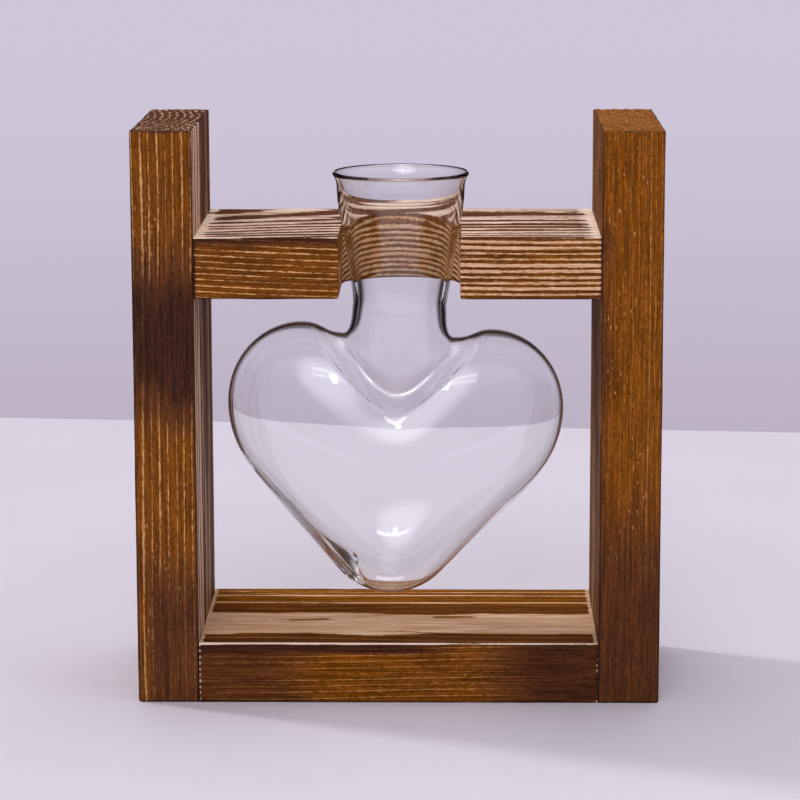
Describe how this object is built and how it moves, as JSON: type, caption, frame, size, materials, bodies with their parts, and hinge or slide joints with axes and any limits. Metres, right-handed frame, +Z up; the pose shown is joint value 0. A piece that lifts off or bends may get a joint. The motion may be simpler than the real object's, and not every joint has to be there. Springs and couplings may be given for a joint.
{
  "type": "hydroponic vase with wooden frame",
  "caption": "Heart-shaped clear glass vase hung by its flared neck in the open notch of a charred wooden stand; holds water and cuttings, and slides out to the front.",
  "frame": {"origin": "middle of the stand's footprint, on the surface that it stands on", "axes": "+Z up, +X to the right seen from the front, +Y to the back; the notch opens towards -Y"},
  "size_m": [0.128, 0.056, 0.141],
  "materials": {
    "post_wood": "charred, brushed and waxed softwood, dark brown",
    "rail_wood": "charred, brushed and waxed softwood, golden brown",
    "clear_glass": "clear blown glass, polished",
    "screw_steel": "bright zinc"
  },
  "bodies": {
    "stand": {"left_post": "post_wood", "right_post": "post_wood", "base_rail": "rail_wood", "upper_rail": "rail_wood", "screw_left_base_front": "screw_steel", "screw_left_base_back": "screw_steel", "screw_left_upper_front": "screw_steel", "screw_left_upper_back": "screw_steel", "screw_right_base_front": "screw_steel", "screw_right_base_back": "screw_steel", "screw_right_upper_front": "screw_steel", "screw_right_upper_back": "screw_steel"},
    "vase": {"heart_vase": "clear_glass"}
  },
  "joints": [
    {"name": "vase_slide", "type": "slide", "parent": "stand", "child": "vase", "axis": [0, -1, 0], "range_m": [0, 0.04]}
  ]
}
